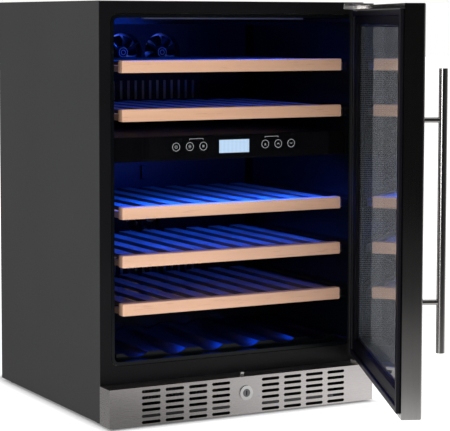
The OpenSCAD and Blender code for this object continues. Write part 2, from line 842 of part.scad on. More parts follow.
// Lower hinge: an arm under the door, a leg on the base and the pin
module bottom_hinge() {
    arm_low = low_arm_top - hinge_plate_t;
    color([0.78, 0.76, 0.74]) {
        block([hinge_x - arm_half, hinge_y - arm_half, arm_low], [inner_w, front - 0.2, low_arm_top]);
        block([hinge_x - arm_half, front - hinge_plate_t, 40], [inner_w, front, arm_low + 0.5]);
        rod_z(hinge_x, hinge_y, low_arm_top, door_bottom + bush_l - 1, pin_d);
    }
}

// Countersunk screws of both hinges
module hinge_screws() {
    color([0.6, 0.6, 0.6]) {
        for (x = [hinge_x - 28, hinge_x - 10, hinge_x + 6])
            rod_y(x, door_top - gasket_inset + 7, front - 3.6, front - 2.5, 7);
        for (z = [52, 66])
            rod_y(hinge_x - 1, z, front - hinge_plate_t - 2, front - hinge_plate_t, 8);
    }
}

// A levelling foot: pad, hexagon and threaded stud
module foot(x, y) {
    hex_h = 5;
    color([0.1, 0.1, 0.1]) {
        rod_z(x, y, 0, foot_h, foot_d);
        translate([x, y, foot_h]) cylinder(h = hex_h, d = stud_d * 1.8, $fn = 6);
        rod_z(x, y, foot_h + hex_h, pan_top + boss_h + foot_travel, stud_d);
    }
}

// ---- Shelves ----

// Beech front board, slats on cross rails, and a runner strip along each side
module shelf(i) {
    z0 = shelf_zs[i];
    gap = 0.2;
    slat_top = z0 + board_h - 2;
    rail_top = slat_top - slat_t - gap;
    rail_step = (deck_back - cross_rail_w - deck_y) / (cross_rail_count - 1);
    edge = 2;
    color([0.85, 0.67, 0.52]) translate([0, board_y + board_t, z0])
        rotate([90, 0, 0]) linear_extrude(board_t) round_rect(-board_w / 2, board_w / 2, 0, board_h, edge);
    color([0.8, 0.62, 0.46]) {
        for (k = [0:cross_rail_count - 1]) {
            y = deck_y + k * rail_step;
            half = y < strip_y ? board_w / 2 - 2 : strip_x - gap;
            block([-half, y, z0 + strip_z], [half, y + cross_rail_w, rail_top]);
        }
        for (k = [0:slat_count - 1])
            translate([(k - (slat_count - 1) / 2) * slat_pitch, 0, 0])
                block([-slat_w / 2, deck_y, slat_top - slat_t], [slat_w / 2, deck_back, slat_top]);
    }
    color([0.2, 0.2, 0.2]) for (side = [-1, 1]) mirror([side < 0 ? 1 : 0, 0, 0])
        block([strip_x, strip_y, z0 + strip_z], [strip_x + strip_w, deck_back, z0 + strip_z + strip_h]);
}

// ---- Door ----

// Swings what is drawn for the shut door open about the hinge axis
module swung() {
    translate([hinge_x, hinge_y, 0]) rotate([0, 0, door_angle]) translate([-hinge_x, -hinge_y, 0]) children();
}

// A flat outline as far inside the door's edge as inset says
module door_outline(inset) {
    translate([-half_w + inset, door_bottom + inset]) square([cabinet_w - 2 * inset, door_h - 2 * inset]);
}

// Outline of the visible glass, grown by a margin
module sight_outline(margin) {
    edge = door_rail - margin;
    translate([-half_w + edge, door_bottom + edge])
        square([cabinet_w - 2 * edge, door_h - edge - door_head + margin]);
}

module sight_ring(inset) {
    difference() {
        door_outline(inset);
        sight_outline(0);
    }
}

// A ring between two insets
module door_ring(outer, inner) {
    difference() {
        door_outline(outer);
        door_outline(inner);
    }
}

// Room for the lock's bolt in the bottom of the door
module strike_space() {
    block([-bolt_w / 2 - strike_play, bolt_y - bolt_t / 2 - strike_play, door_bottom - 1],
        [bolt_w / 2 + strike_play, bolt_y + bolt_t / 2 + strike_play, door_bottom + bolt_travel + 4]);
}

// Room for the hinge bushes at the top and the bottom of the door
module bush_space(d) {
    rod_z(hinge_x, hinge_y, door_bottom - 1, door_bottom + bush_l, d);
    rod_z(hinge_x, hinge_y, door_top - bush_l, door_top + 1, d);
}

// Brushed steel door frame: front face, outer walls and a return at the back
module door_frame() {
    y_front = front - door_front;
    y_back = front - door_back;
    color([0.62, 0.61, 0.6]) swung() difference() {
        union() {
            upright(y_front, y_front + door_sheet) sight_ring(0);
            upright(y_front, y_back) door_ring(0, door_sheet);
            upright(y_back - door_sheet, y_back) door_ring(0, return_w);
        }
        strike_space();
        bush_space(bush_d);
    }
}

// Black inner profile that holds the glass, with its hinge bushes
module door_core() {
    lip_y = front - door_lip;
    gasket_end = gasket_inset + gasket_w;
    color([0.04, 0.04, 0.04]) swung() {
        difference() {
            union() {
                upright(core_front, core_back) sight_ring(door_sheet);
                upright(core_back - 1, front - door_back) sight_ring(return_w + 0.1);
                upright(front - door_back - 1, lip_y) sight_ring(gasket_end + 1);
            }
            upright(core_front - 1, inner_glass_y) sight_outline(glass_bite);
            strike_space();
            bush_space(bush_d);
        }
        difference() {
            hinge_bushes();
            rod_z(hinge_x, hinge_y, 0, far, pin_d + 2 * bore_play);
        }
    }
}

// Flanged hinge bushes
module hinge_bushes() {
    for (z = [[door_bottom - bush_flange_h, door_bottom, door_bottom + bush_l],
            [door_top + bush_flange_h, door_top, door_top - bush_l]]) {
        rod_z(hinge_x, hinge_y, min(z[0], z[1]), max(z[0], z[1]), bush_d + 3);
        rod_z(hinge_x, hinge_y, min(z[1], z[2]), max(z[1], z[2]), bush_d);
    }
}

module door_gasket() {
    color([0.62, 0.6, 0.57]) swung()
        upright(front - door_back, front - gasket_gap) door_ring(gasket_inset, gasket_inset + gasket_w);
}

module glass_outer() {
    color([0.3, 0.32, 0.33, 0.5]) swung()
        upright(core_front, outer_glass_y) sight_outline(glass_bite - pane_play);
}

module glass_inner() {
    color([0.3, 0.32, 0.33, 0.5]) swung()
        upright(inner_glass_y - glass_t, inner_glass_y) sight_outline(glass_bite - pane_play);
}

// Aluminium bar that keeps the two panes apart
module glass_spacer() {
    cover = glass_bite - spacer_inset;
    color([0.65, 0.66, 0.68]) swung()
        upright(outer_glass_y, inner_glass_y - glass_t) difference() {
            sight_outline(cover);
            sight_outline(cover - spacer_w);
        }
}

module handle_bar() {
    color([0.75, 0.74, 0.72]) swung() difference() {
        rod_z(handle_x, handle_y, door_mid - handle_l / 2, door_mid + handle_l / 2, handle_d);
        for (side = [-1, 1])
            rod_y(handle_x, door_mid + side * handle_spacing / 2, handle_y, handle_y + handle_d, post_d);
    }
}

module handle_posts() {
    color([0.7, 0.69, 0.67]) swung() for (side = [-1, 1]) {
        z = door_mid + side * handle_spacing / 2;
        rod_y(handle_x, z, handle_y, front - door_front, post_d);
        rod_y(handle_x, z, front - door_front - 2, front - door_front, post_d + 5);
    }
}

outer_shell();
back_panel();
base_pan();
insulation_foam();
inner_liner();
front_frame();
shelf_rails();
duct_cover_upper();
duct_cover_lower();
evaporators();
fan_frames();
inner_rotor(0);  // fan_rotor_1
inner_rotor(1);  // fan_rotor_2
inner_rotor(2);  // fan_rotor_3
zone_divider();
control_fascia();
display_window();
control_board();
button(0);  // button_1
button(1);  // button_2
button(2);  // button_3
button(3);  // button_4
button(4);  // button_5
button(5);  // button_6
led_strips();
temp_sensors();
bottle_cradle();
compressor();
compressor_mounts();
condenser();
condenser_fan_frame();
condenser_fan_rotor();
refrigerant_pipes();
drip_tray();
power_inlet();
machine_cover();
kickplate();
lock_housing();
lock_plug();
lock_bolt();
top_hinge();
bottom_hinge();
hinge_screws();
foot(-foot_x, -foot_y);  // foot_1
foot(foot_x, -foot_y);  // foot_2
foot(-foot_x, foot_y);  // foot_3
foot(foot_x, foot_y);  // foot_4
shelf(0);  // shelf_1
shelf(1);  // shelf_2
shelf(2);  // shelf_3
shelf(3);  // shelf_4
shelf(4);  // shelf_5
door_frame();
door_core();
door_gasket();
glass_outer();
glass_inner();
glass_spacer();
handle_bar();
handle_posts();
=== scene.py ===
# %% [markdown]
# # A built-under wine cooler
# The cooler is a dark painted cabinet with a lit black cavity, five slatted shelves and a steel
# framed glass door that stands open on its right-hand hinges. Its exact sizes come from a packed
# CAD model. Each cell below takes one piece or one finish, says what it is on the real object,
# and gives it the shape and the surface that a camera would see.
#
# The first cell loads that model as a fixed frame. Everything is in metres, X runs towards the
# hinges, -Y out of the front and Z up, and a piece that moves rides on the CAD body that moves.

# %% Load the frame
import bpy
import bmesh
import json
import math
from mathutils import Matrix, Vector


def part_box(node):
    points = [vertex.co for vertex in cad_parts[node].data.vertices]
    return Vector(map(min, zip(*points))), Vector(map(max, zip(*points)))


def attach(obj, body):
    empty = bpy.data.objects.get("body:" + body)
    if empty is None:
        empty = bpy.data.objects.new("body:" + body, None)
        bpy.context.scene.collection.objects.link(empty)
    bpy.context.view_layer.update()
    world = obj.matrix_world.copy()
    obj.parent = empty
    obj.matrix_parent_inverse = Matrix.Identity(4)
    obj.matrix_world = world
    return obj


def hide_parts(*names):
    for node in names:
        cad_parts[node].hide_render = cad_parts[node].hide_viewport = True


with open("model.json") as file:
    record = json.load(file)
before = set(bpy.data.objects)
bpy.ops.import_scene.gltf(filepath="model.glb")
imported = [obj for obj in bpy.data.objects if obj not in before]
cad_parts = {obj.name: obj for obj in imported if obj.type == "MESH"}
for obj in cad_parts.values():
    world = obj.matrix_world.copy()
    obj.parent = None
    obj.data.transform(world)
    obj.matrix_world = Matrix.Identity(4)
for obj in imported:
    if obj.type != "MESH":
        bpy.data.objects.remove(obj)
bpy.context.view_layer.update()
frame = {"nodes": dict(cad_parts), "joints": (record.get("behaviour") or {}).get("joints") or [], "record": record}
nodes = frame["nodes"]
held_by = frame["record"]["behaviour"]["bodies"]
body_of = {node: body for body, held in held_by.items() for node in held}
joint_of = {joint["name"]: joint for joint in frame["joints"]}
MM = 0.001

# %% [markdown]
# ## Sums written as sums
# A procedural finish is a small calculation over the surface: a mask here, some noise there.
# Node by node it is hard to read, so Value wraps a socket and lets + - * and / add the Math
# nodes. Every other node comes from one method, Finish.node, which sets the node's settings
# first and then fills its sockets with numbers or links.

# %% Shader helpers
class Value:
    """One socket of a finish. Sums on it add Math nodes."""

    def __init__(self, finish, socket):
        self.finish, self.socket = finish, socket

    def math(self, operation, *others):
        return self.finish.node("ShaderNodeMath", {"operation": operation},
                                dict(enumerate((self, *others))))

    def __add__(self, other):
        return self.math("ADD", other)

    def __sub__(self, other):
        return self.math("SUBTRACT", other)

    def __mul__(self, other):
        return self.math("MULTIPLY", other)

    def __truediv__(self, other):
        return self.math("DIVIDE", other)

    def __rsub__(self, other):
        return self.finish.node("ShaderNodeMath", {"operation": "SUBTRACT"}, {0: other, 1: self})

    __radd__ = __add__
    __rmul__ = __mul__


class Finish:
    """A material whose Principled shader is fed by nodes."""

    def __init__(self, name, **steady):
        self.material = bpy.data.materials.new(name)
        self.material.use_nodes = True
        self.tree = self.material.node_tree
        self.shader = self.tree.nodes["Principled BSDF"]
        self.feed(self.shader, steady)

    def feed(self, node, sockets):
        for key, value in sockets.items():
            socket = node.inputs[key.replace("_", " ") if isinstance(key, str) else key]
            if isinstance(value, Value):
                self.tree.links.new(value.socket, socket)
            else:
                socket.default_value = value

    def node(self, kind, settings=None, sockets=None, output=0):
        made = self.tree.nodes.new(kind)
        for key, value in (settings or {}).items():
            if key == "stops":
                ramp = made.color_ramp
                while len(ramp.elements) < len(value):
                    ramp.elements.new(0.5)
                for element, (place, shade) in zip(ramp.elements, value):
                    element.position, element.color = place, shade
            else:
                setattr(made, key, value)
        self.feed(made, sockets or {})
        return Value(self, made.outputs[output])

    def surface(self, **varying):
        self.feed(self.shader, varying)
        return self.material

    def place(self, scale=(1, 1, 1), turn=(0, 0, 0)):
        """Object coordinates, turned and stretched by one Mapping node."""
        where = self.node("ShaderNodeTexCoord", output="Object")
        return self.node("ShaderNodeMapping", None,
                         {"Vector": where, "Scale": scale, "Rotation": turn})

    def noise(self, place, scale=1.0, detail=4.0, roughness=0.5):
        return self.node("ShaderNodeTexNoise", None, {"Vector": place, "Scale": scale,
                                                      "Detail": detail, "Roughness": roughness})

    def ramp(self, amount, *stops):
        return self.node("ShaderNodeValToRGB", {"stops": stops}, {"Fac": amount})

    def mix(self, amount, low, high):
        return self.node("ShaderNodeMix", {"data_type": "RGBA"},
                         {0: amount, 6: low, 7: high}, output=2)

    def bump(self, height, strength, distance):
        return self.node("ShaderNodeBump", None,
                         {"Height": height, "Strength": strength, "Distance": distance})


def grey(level):
    return (level, level, level, 1.0)


def tint(r, g, b):
    return (r, g, b, 1.0)


print("shader helpers ready")

# %% [markdown]
# ## Painted and moulded finishes
# Powder paint is matt with a very fine orange peel, satin paint is the same thing with less
# of it, and moulded plastic has a spark-eroded grain. All three are one recipe: two sizes of
# noise, the small one for the bump and the large one for a slow drift in shade and roughness.

# %% Paint and plastic
GRAIN_HEIGHT = 0.2 * MM
CLOUD_SCALE = 7.0


def coated(name, colour, rough, grain=900.0, depth=0.25, drift=0.12, **steady):
    finish = Finish(name, **steady)
    place = finish.place()
    fine = finish.noise(place, grain, 3.0)
    slow = finish.noise(place, CLOUD_SCALE, 2.0)
    low = tuple(c * (1 - drift) for c in colour) + (1.0,)
    high = tuple(c * (1 + drift) for c in colour) + (1.0,)
    return finish.surface(
        Base_Color=finish.mix(slow, low, high),
        Roughness=rough - 0.04 + 0.05 * slow + 0.04 * fine,
        Normal=finish.bump(fine, depth, GRAIN_HEIGHT))


side_paint = coated("powder_paint_grey", (0.036, 0.036, 0.037), 0.62, 700.0, 0.3)
face_paint = coated("satin_paint_black", (0.0035, 0.0035, 0.0042), 0.42, 900.0, 0.12,
                    Specular_IOR_Level=0.3)
zinc_sheet = coated("zinc_plated_sheet", (0.40, 0.41, 0.42), 0.42, 60.0, 0.05, 0.18, Metallic=0.9)
liner_skin = coated("liner_plastic_black", (0.0014, 0.0020, 0.0026), 0.22, 1200.0, 0.08,
                    Specular_IOR_Level=0.3)
black_moulding = coated("moulded_plastic_black", (0.0022, 0.0022, 0.0034), 0.40, 1500.0, 0.2,
                        Specular_IOR_Level=0.14)
# Painted shade: the base pan and the kickplate's inner faces are black so the slots read dark.
pan_painted_shade = coated("pan_black_painted_shade", (0.003, 0.003, 0.003), 0.6, 600.0, 0.3,
                   Specular_IOR_Level=0.08)
fascia_gloss = coated("gloss_plastic_black", (0.0016, 0.0016, 0.0022), 0.10, 500.0, 0.02,
                      Specular_IOR_Level=0.16)
rubber_black = coated("rubber_black", (0.02, 0.02, 0.02), 0.78, 1300.0, 0.4)
seal_rubber = coated("seal_rubber_black", (0.004, 0.004, 0.006), 0.34, 800.0, 0.2,
                     Specular_IOR_Level=0.25)
foam_yellow = coated("cut_foam", (0.72, 0.62, 0.36), 0.85, 420.0, 0.8)
can_enamel = coated("compressor_enamel", (0.010, 0.010, 0.011), 0.26, 300.0, 0.15)
board_green = coated("circuit_lacquer", (0.02, 0.16, 0.06), 0.30, 260.0, 0.2)
print("coated finishes", 12)

# %% [markdown]
# ## Brushed steel
# Brushing leaves long fine scratches. Noise drawn out a hundredfold along the brushing gives
# them, in the bump, in the roughness and faintly in the shade. The door's uprights are brushed
# upwards and its cross rails along their length, so the door has a version of its own that
# swaps the two at the mitres, in coordinates turned with the open door.

# %% Steel, chrome and aluminium
SCRATCH_HEIGHT = 0.1 * MM
ACROSS, ALONG = 700.0, 5.0


def drawn_out(across, along, axis):
    """Scales of a noise that is drawn out along one axis."""
    return tuple(along if letter == axis else across for letter in "XYZ")


def brushed(name, colour, axis, rough, depth=0.10):
    finish = Finish(name, Metallic=1.0)
    scratches = finish.noise(finish.place(drawn_out(ACROSS, ALONG, axis)), 1.0, 4.0, 0.65)
    clouds = finish.noise(finish.place(), 5.0, 2.0)
    low = tuple(c * 0.86 for c in colour) + (1.0,)
    high = tuple(min(1.0, c * 1.12) for c in colour) + (1.0,)
    return finish.surface(
        Base_Color=finish.mix(scratches, low, high),
        Roughness=rough - 0.06 + 0.12 * scratches + 0.04 * clouds,
        Normal=finish.bump(scratches, depth, SCRATCH_HEIGHT))


steel_along_x = brushed("brushed_steel_level", (0.66, 0.625, 0.615), "X", 0.26)
steel_along_z = brushed("brushed_steel_upright", (0.62, 0.60, 0.59), "Z", 0.15, 0.015)
rail_steel = brushed("rail_steel", (0.30, 0.31, 0.34), "Y", 0.35)
bright_steel = brushed("bright_steel", (0.78, 0.76, 0.74), "X", 0.22)
lock_chrome = coated("lock_chrome", (0.74, 0.74, 0.73), 0.16, 350.0, 0.03, 0.04, Metallic=1.0)
lock_core = brushed("lock_core_steel", (0.22, 0.22, 0.23), "Z", 0.24)
mill_aluminium = brushed("mill_aluminium", (0.70, 0.71, 0.72), "X", 0.36)
copper_pipe = brushed("copper_pipe", (0.72, 0.36, 0.20), "X", 0.30)
print("metals", 8)

# %% [markdown]
# ## Beech
# The shelves are oiled beech. Plain-sawn beech has a pinkish ground, long soft bands and short
# dark flecks. The bands are noise drawn out along the grain, and the flecks are a finer noise
# cut to its peaks. The boards run left to right and the slats front to back, so the recipe is
# told which way the grain lies. The slats and cross rails take a copy at about half the colour,
# painted shade for the dim cavity, and the sides of the slats one at a tenth, painted shade in
# the gaps between them.

# %% Wood
def beech(name, axis, light=1.0):
    finish = Finish(name)
    bands = finish.noise(finish.place(drawn_out(26.0, 1.6, axis)), 1.0, 5.0, 0.55)
    streaks = finish.place(drawn_out(420.0, 22.0, axis))
    flecks = finish.noise(streaks, 1.0, 2.0).math("GREATER_THAN", 0.66)
    pores = finish.noise(streaks, 2.0, 3.0)
    boards = finish.noise(finish.place((2.0, 0.5, 9.0)), 1.0, 1.0)
    # light below 1 scales every colour of the grain down: painted shade in a darker copy.
    dark = tint(0.56 * light, 0.325 * light, 0.205 * light)
    pale = tint(0.70 * light, 0.435 * light, 0.295 * light)
    warm = tint(0.64 * light, 0.375 * light, 0.240 * light)
    fleck = tint(0.30 * light, 0.15 * light, 0.09 * light)
    ground = finish.mix(finish.ramp(bands, (0.30, grey(0.0)), (0.72, grey(1.0))), dark, pale)
    ground = finish.mix(0.5 * boards, ground, warm)
    return finish.surface(
        Base_Color=finish.mix(0.22 * flecks, ground, fleck),
        Roughness=0.40 + 0.16 * pores,
        Normal=finish.bump(pores + 0.5 * bands, 0.12, GRAIN_HEIGHT))


beech_level = beech("beech_grain_level", "X")
# Painted shade: the slats and cross rails inside the cavity take beech at about half its colour.
beech_deep_painted_shade = beech("beech_grain_deep_painted_shade", "Y", 0.48)
# Painted shade: the sides of the slats, down in the gaps, take beech at a tenth of its colour.
beech_side_painted_shade = beech("beech_slat_side_painted_shade", "Y", 0.10)
print("wood ready")

# %% [markdown]
# ## Glass and light
# The door has two panes with a gap. The outer one is tinted and has a metal-oxide layer, so
# the pair looks smoky at a flat angle. The display is a small white-blue panel behind a
# smoked window, and the light strips are milky blue covers over a row of diodes.

# %% Glass, display and strips
PANE_ROUGHNESS = 0.016
HOLE_PITCH = 4.0 * MM


def pane(name, colour):
    finish = Finish(name, Transmission_Weight=1.0, IOR=1.46, Base_Color=colour)
    smears = finish.noise(finish.place((3.0, 3.0, 9.0)), 1.0, 3.0)
    return finish.surface(Roughness=PANE_ROUGHNESS + 0.008 * smears)


outer_glass = pane("tinted_pane", tint(0.42, 0.42, 0.45))
inner_glass = pane("clear_pane", tint(0.80, 0.83, 0.84))


def glowing(name, colour, strength, pitch):
    """A lit cover whose brightness rises over each diode behind it."""
    finish = Finish(name, Emission_Strength=strength, Roughness=0.35)
    across = finish.node("ShaderNodeSeparateXYZ", None, {0: finish.place()})
    ripple = 0.97 + 0.03 * (across * (2 * math.pi / pitch)).math("COSINE")
    return finish.surface(Base_Color=finish.mix(ripple, grey(0.0), grey(0.05)),
                          Emission_Color=finish.mix(ripple, grey(0.0), colour))


display_light = glowing("display_light", tint(0.485, 0.68, 0.91), 0.95, 0.009)
strip_light = glowing("strip_light_blue", tint(0.02, 0.07, 1.0), 0.03, 0.012)
# The printed marks glow instead of reflecting: their brightness is painted light.
icon_ink_painted_glow = glowing("icon_ink_painted_glow", tint(0.62, 0.63, 0.66), 1.0, 0.02)


def perforated(name, turn):
    """Rolled aluminium; two rows of small round breather holes down its length are painted shade."""
    finish = Finish(name, Metallic=1.0)
    place = finish.place(turn=turn)
    parts = [finish.node("ShaderNodeSeparateXYZ", None, {0: place}, output=i) for i in (1, 2)]
    deep, high = [(part * (2 * math.pi / HOLE_PITCH)).math("COSINE") for part in parts]
    # The holes are dark dots in the colour: painted shade inside them, with a dip in the bump.
    holes = (high + deep * 0.4).math("GREATER_THAN", 0.45)
    fine = finish.noise(place, 900.0, 2.0)
    return finish.surface(Base_Color=finish.mix(holes, tint(0.74, 0.77, 0.80), grey(0.012)),
                          Roughness=0.32 + 0.1 * fine, Normal=finish.bump(1 - holes, 0.3, 0.0004))


print("glass and light ready")

# %% [markdown]
# ## From CAD solid to finished piece
# A CAD solid has dead sharp edges, which no real part has, and a render shows it: a real edge
# catches a thin line of light. The next helpers take a copy of a CAD node, merge its loose
# triangles, clear the lines inside its flat faces, round what is left by a stated radius, and
# hand it over as a piece that rides on the same body.

# %% Copy, round and place
FLAT = math.radians(0.4)
CORNER = math.radians(32)
SMOOTH = math.radians(40)
WELD = 2e-6


def cad_shape(node):
    shape = bmesh.new()
    shape.from_mesh(nodes[node].data)
    bmesh.ops.remove_doubles(shape, verts=shape.verts, dist=WELD)
    bmesh.ops.dissolve_limit(shape, angle_limit=FLAT, verts=shape.verts, edges=shape.edges)
    return shape


def corner_edges(shape, test=None):
    return [edge for edge in shape.edges
            if len(edge.link_faces) == 2 and edge.calc_face_angle() > CORNER
            and (not test or test(edge))]


def round_edges(shape, radius, steps=2, test=None):
    edges = corner_edges(shape, test)
    bmesh.ops.bevel(shape, geom=edges, offset=radius, offset_type="OFFSET", segments=steps,
                    profile=0.5, affect="EDGES", clamp_overlap=True, material=-1)


def pick(shape, test):
    """Keeps the separate solids whose lowest and highest corners pass the test."""
    left = set(shape.verts)
    drop = []
    while left:
        group, queue = set(), [left.pop()]
        while queue:
            vert = queue.pop()
            group.add(vert)
            for link in vert.link_edges:
                other = link.other_vert(vert)
                if other in left:
                    left.discard(other)
                    queue.append(other)
        low = Vector([min(v.co[i] for v in group) for i in range(3)])
        high = Vector([max(v.co[i] for v in group) for i in range(3)])
        if not test(low, high):
            drop += list(group)
    bmesh.ops.delete(shape, geom=drop, context="VERTS")


def piece(shape, name, body, finish, replaced=()):
    for face in shape.faces:
        face.smooth = True
    mesh = bpy.data.meshes.new(name)
    shape.to_mesh(mesh)
    shape.free()
    mesh.set_sharp_from_angle(angle=SMOOTH)
    made = bpy.data.objects.new(name, mesh)
    bpy.context.collection.objects.link(made)
    made.data.materials.append(finish)
    even = made.modifiers.new("even_normals", "WEIGHTED_NORMAL")
    even.keep_sharp = True
    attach(made, body)
    if replaced:
        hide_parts(*replaced)
    return made


def rounded(node, finish, radius, steps=2):
    shape = cad_shape(node)
    if radius:
        round_edges(shape, radius, steps)
    return piece(shape, node + "_look", body_of[node], finish, (node,))


print("piece helpers ready")

# %% [markdown]
# ## The cabinet
# Folded steel has an outside radius of about one and a half sheet thicknesses; moulded
# plastic has one of half a millimetre or so. The foam, the evaporators, the board, the condenser
# and the pipes keep their CAD shape and only get a finish. The kickplate is steel outside. Its
# inner faces and the base pan behind its slots are black, painted shade that keeps the slots
# dark.

# %% Cabinet pieces
CABINET = [
    ("outer_shell", side_paint, 1.2, 3), ("back_panel", zinc_sheet, 0.0, 1),
    ("front_frame", face_paint, 0.6, 2), ("inner_liner", liner_skin, 0.8, 2),
    ("zone_divider", liner_skin, 0.8, 2), ("base_pan", pan_painted_shade, 0.0, 1),
    ("shelf_rails", rail_steel, 0.3, 2), ("duct_cover_upper", black_moulding, 0.6, 2),
    ("duct_cover_lower", black_moulding, 0.6, 2), ("fan_frames", black_moulding, 0.4, 2),
    ("temp_sensors", black_moulding, 1.5, 2), ("control_fascia", fascia_gloss, 0.6, 2),
    ("display_window", display_light, 0.3, 2), ("led_strips", strip_light, 0.6, 2),
    ("machine_cover", zinc_sheet, 0.2, 1), ("power_inlet", black_moulding, 0.4, 2),
    ("condenser_fan_frame", black_moulding, 0.3, 1), ("compressor", can_enamel, 0.0, 1),
    ("drip_tray", black_moulding, 0.4, 2), ("compressor_mounts", rubber_black, 0.5, 2),
    ("kickplate", steel_along_x, 0.35, 2), ("lock_housing", lock_chrome, 0.6, 3),
    ("lock_plug", lock_core, 0.3, 2), ("lock_bolt", bright_steel, 0.5, 2),
    ("top_hinge", bright_steel, 0.4, 2), ("bottom_hinge", bright_steel, 0.4, 2),
    ("hinge_screws", lock_chrome, 0.4, 2),
]
for node, finish, radius, steps in CABINET:
    made = rounded(node, finish, radius * MM, steps)
    print(made.name, len(made.data.polygons), "faces")

# The kickplate's inner faces take the black finish: painted shade behind its slots.
SHEET = 0.4 * MM
kick = bpy.data.objects["kickplate_look"].data
kick.materials.append(pan_painted_shade)
kick_low, kick_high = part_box("kickplate")
for face in kick.polygons:
    middle = face.center
    outside = middle.y < kick_low.y + SHEET or abs(middle.x) > kick_high.x - SHEET \
        or middle.z > kick_high.z - SHEET
    face.material_index = 0 if outside else 1
print("kickplate inner faces", sum(face.material_index for face in kick.polygons))

for node, finish in [("insulation_foam", foam_yellow), ("evaporators", mill_aluminium),
                     ("control_board", board_green), ("condenser", mill_aluminium),
                     ("refrigerant_pipes", copper_pipe)]:
    nodes[node].data.materials.clear()
    nodes[node].data.materials.append(finish)
for number in range(1, 5):
    rounded(f"foot_{number}", black_moulding, 0.5 * MM)

# %% [markdown]
# ## Shelves
# Each shelf is one body but three jobs: a thick front board whose edges are well rounded for
# the hand, a deck of thin slats on cross rails, and a steel runner strip each side. The CAD
# node holds them as separate solids, so each job is picked out by its box and gets the radius
# and the grain direction it needs.

# %% Shelves
BOARD_DEPTH, WIDEST_RUNNER, WIDEST_SLAT = 30 * MM, 10 * MM, 60 * MM
board_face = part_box("shelf_1")[0].y


def is_board(low, high):
    return high.y < board_face + BOARD_DEPTH


def is_runner(low, high):
    return high.x - low.x < WIDEST_RUNNER


def is_slat(low, high):
    return not is_board(low, high) and WIDEST_RUNNER <= high.x - low.x < WIDEST_SLAT


def is_cross(low, high):
    return not is_board(low, high) and high.x - low.x > WIDEST_SLAT


SHELF_JOBS = [
    ("board", is_board, beech_level, 3.0, 4), ("slats", is_slat, beech_deep_painted_shade, 1.2, 2),
    ("crossrails", is_cross, beech_deep_painted_shade, 0.8, 2), ("runners", is_runner, rail_steel, 0.4, 2),
]
for number in range(1, 6):
    node = f"shelf_{number}"
    for job, test, finish, radius, steps in SHELF_JOBS:
        shape = cad_shape(node)
        pick(shape, test)
        round_edges(shape, radius * MM, steps)
        made = piece(shape, f"{node}_{job}", node, finish,
                     (node,) if job == "board" else ())
        if job == "slats":
            # Faces that look sideways take the darker beech: painted shade in the gaps between slats.
            made.data.materials.append(beech_side_painted_shade)
            for face in made.data.polygons:
                face.material_index = int(abs(face.normal.x) > 0.7)
    print(node, "in", len(SHELF_JOBS), "pieces")
rounded("bottle_cradle", liner_skin, 0.6 * MM)

# %% [markdown]
# ## Fan rotors
# A small axial fan has a cupped hub and seven blades that are curved and twisted: steep at
# the root, flatter at the tip. A flat grid is bent blade by blade: each row is turned about
# the blade's own length by an angle that falls with the radius. The blade is thickened, and
# one spin copies it round the hub. The corners and faces are then put in order of their place,
# because the order in which these steps leave them can differ between runs.

# %% Rotors
BLADES = 7
HUB, HUB_EDGE, BLADE_THICK = 14 * MM, 1.6 * MM, 1.1 * MM
ROOT_PITCH, TIP_PITCH = 48, 24
ROOT_CHORD, TIP_CHORD = 13 * MM, 24 * MM
CAMBER, SWEEP_BACK = 2.2 * MM, 0.22
ORDER = Vector((1.0, 0.6180, 0.3717))


def rotor(node, finish):
    low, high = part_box(node)
    centre = (low + high) / 2
    outer = (high.x - low.x) / 2 - 0.4 * MM
    depth = high.y - low.y
    shape = bmesh.new()
    grid = bmesh.ops.create_grid(shape, x_segments=8, y_segments=6, size=0.5)["verts"]
    for vert in grid:
        reach, along = vert.co.x + 0.5, vert.co.y
        radius = HUB - 1.0 * MM + reach * (outer - HUB + 0.6 * MM)
        pitch = math.radians(ROOT_PITCH + (TIP_PITCH - ROOT_PITCH) * reach)
        chord = ROOT_CHORD + (TIP_CHORD - ROOT_CHORD) * reach
        camber = CAMBER * (1 - 4 * along * along)
        swing = along * chord * math.cos(pitch) / radius + SWEEP_BACK * reach * reach
        rise = along * chord * math.sin(pitch) * 0.8 + camber
        vert.co = Vector((radius * math.cos(swing), rise, radius * math.sin(swing)))
    bmesh.ops.solidify(shape, geom=shape.faces[:], thickness=BLADE_THICK)
    bmesh.ops.spin(shape, geom=shape.verts[:] + shape.edges[:] + shape.faces[:], cent=(0, 0, 0),
                   axis=(0, 1, 0), angle=2 * math.pi * (BLADES - 1) / BLADES, steps=BLADES - 1,
                   use_duplicate=True)
    cup = bmesh.ops.create_cone(shape, cap_ends=True, segments=40, radius1=HUB, radius2=HUB,
                                depth=depth - 2 * MM)["verts"]
    bmesh.ops.rotate(shape, verts=cup, cent=(0, 0, 0),
                     matrix=Matrix.Rotation(math.radians(90), 3, "X"))
    rims = {edge for vert in cup for edge in vert.link_edges if edge.calc_face_angle(0) > CORNER}
    bmesh.ops.bevel(shape, geom=list(rims), offset=HUB_EDGE, segments=3, profile=0.5,
                    affect="EDGES", material=-1)
    bmesh.ops.translate(shape, verts=shape.verts, vec=centre)
    bmesh.ops.recalc_face_normals(shape, faces=shape.faces)
    for vert in shape.verts:
        vert.co.y = min(max(vert.co.y, low.y), high.y)
    shape.verts.sort(key=lambda vert: vert.co.dot(ORDER))
    shape.faces.sort(key=lambda face: face.calc_center_median().dot(ORDER))
    made = piece(shape, node + "_look", body_of[node], finish, (node,))
    print(made.name, len(made.data.polygons), "faces")


for node in ("fan_rotor_1", "fan_rotor_2", "fan_rotor_3", "condenser_fan_rotor"):
    rotor(node, black_moulding)

